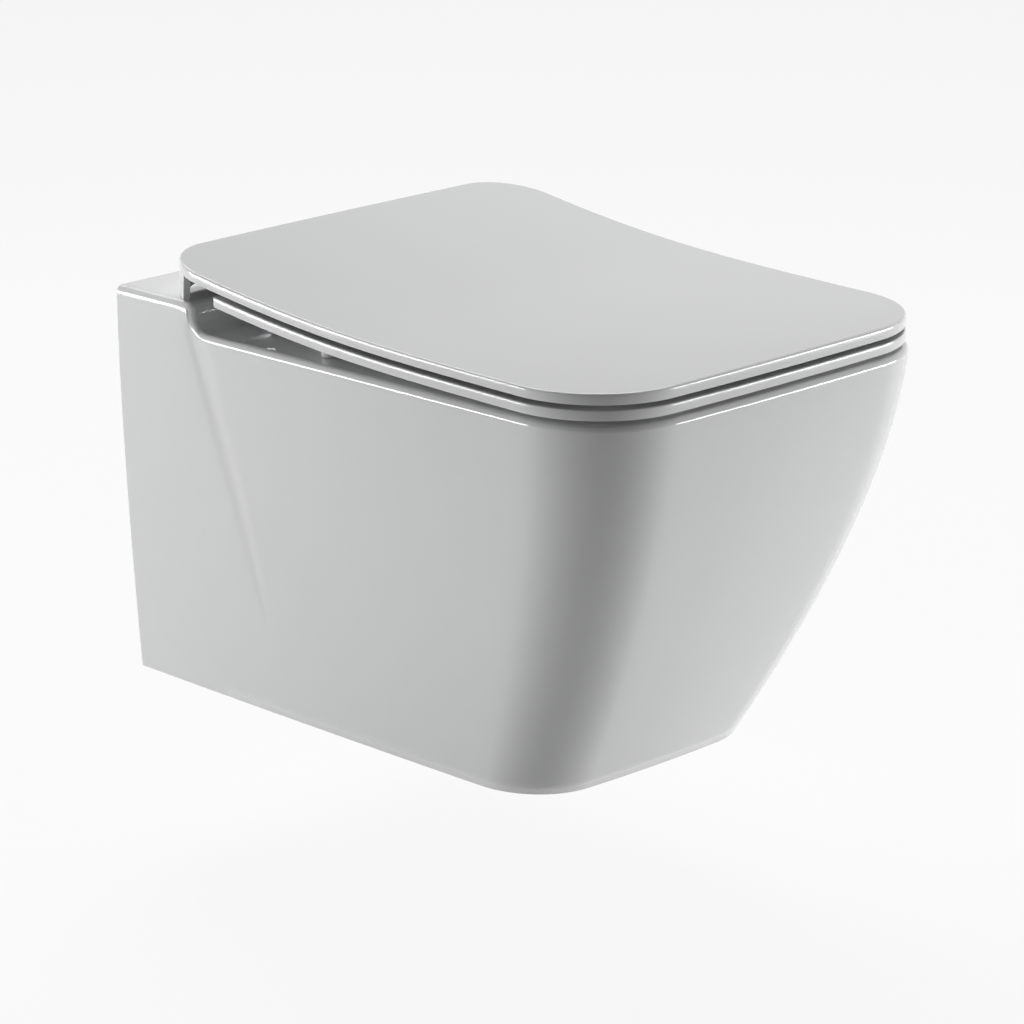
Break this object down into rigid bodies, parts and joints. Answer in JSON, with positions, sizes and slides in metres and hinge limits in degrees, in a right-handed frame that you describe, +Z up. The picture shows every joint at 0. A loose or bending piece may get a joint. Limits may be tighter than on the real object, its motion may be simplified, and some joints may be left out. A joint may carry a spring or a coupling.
{
  "type": "wall hung toilet",
  "caption": "Wall-hung toilet: ceramic pan with rimless basin and trapway, slim curved seat and lid on hinge posts, hidden wall fixing.",
  "frame": {"origin": "on the wall plane, midway between the two wall bolts", "axes": "+X is the toilet's right-hand side seen from the wall, +Y points into the wall, +Z is up; the pan projects along -Y"},
  "size_m": [0.355, 0.4773, 0.3481],
  "materials": {
    "ceramic": "white glaze",
    "seat_plastic": "gloss white thermoset",
    "hinge_plastic": "satin white",
    "hinge_metal": "chrome plated",
    "fixing_plastic": "moulded nylon",
    "fixing_steel": "zinc plated",
    "rubber": "black rubber",
    "rubber_pale": "pale rubber"
  },
  "bodies": {
    "pan": {"pan": "ceramic", "inlet_seal": "rubber", "fixing_block_left": "fixing_plastic", "fixing_block_right": "fixing_plastic", "fixing_wedges": "fixing_steel", "fixing_clamp_screws": "fixing_steel", "hinge_post_left": "hinge_metal", "hinge_post_right": "hinge_metal", "hinge_gaskets": "rubber", "hinge_studs": "fixing_steel", "expansion_sleeves": "rubber", "cone_nuts": "fixing_plastic", "hinge_pin_left": "fixing_steel", "hinge_pin_right": "fixing_steel"},
    "seat": {"seat_ring": "seat_plastic", "seat_bracket_left": "hinge_plastic", "seat_bracket_right": "hinge_plastic", "seat_bracket_screws": "fixing_steel", "seat_damper": "hinge_plastic", "seat_bush": "hinge_plastic", "seat_buffers_side": "rubber_pale", "seat_buffers_front": "rubber_pale"},
    "lid": {"lid_shell": "seat_plastic", "lid_bracket_left": "hinge_plastic", "lid_bracket_right": "hinge_plastic", "lid_bracket_screws": "fixing_steel", "lid_damper": "hinge_plastic", "lid_bush": "hinge_plastic", "lid_buffers": "rubber_pale"}
  },
  "joints": [
    {"name": "seat_hinge", "type": "hinge", "parent": "pan", "child": "seat", "pos_m": [0, -0.0494, 0.1173], "axis": [-1, 0, 0], "range_deg": [0, 95]},
    {"name": "lid_hinge", "type": "hinge", "parent": "seat", "child": "lid", "pos_m": [0, -0.0494, 0.1173], "axis": [-1, 0, 0], "range_deg": [0, 95]}
  ]
}
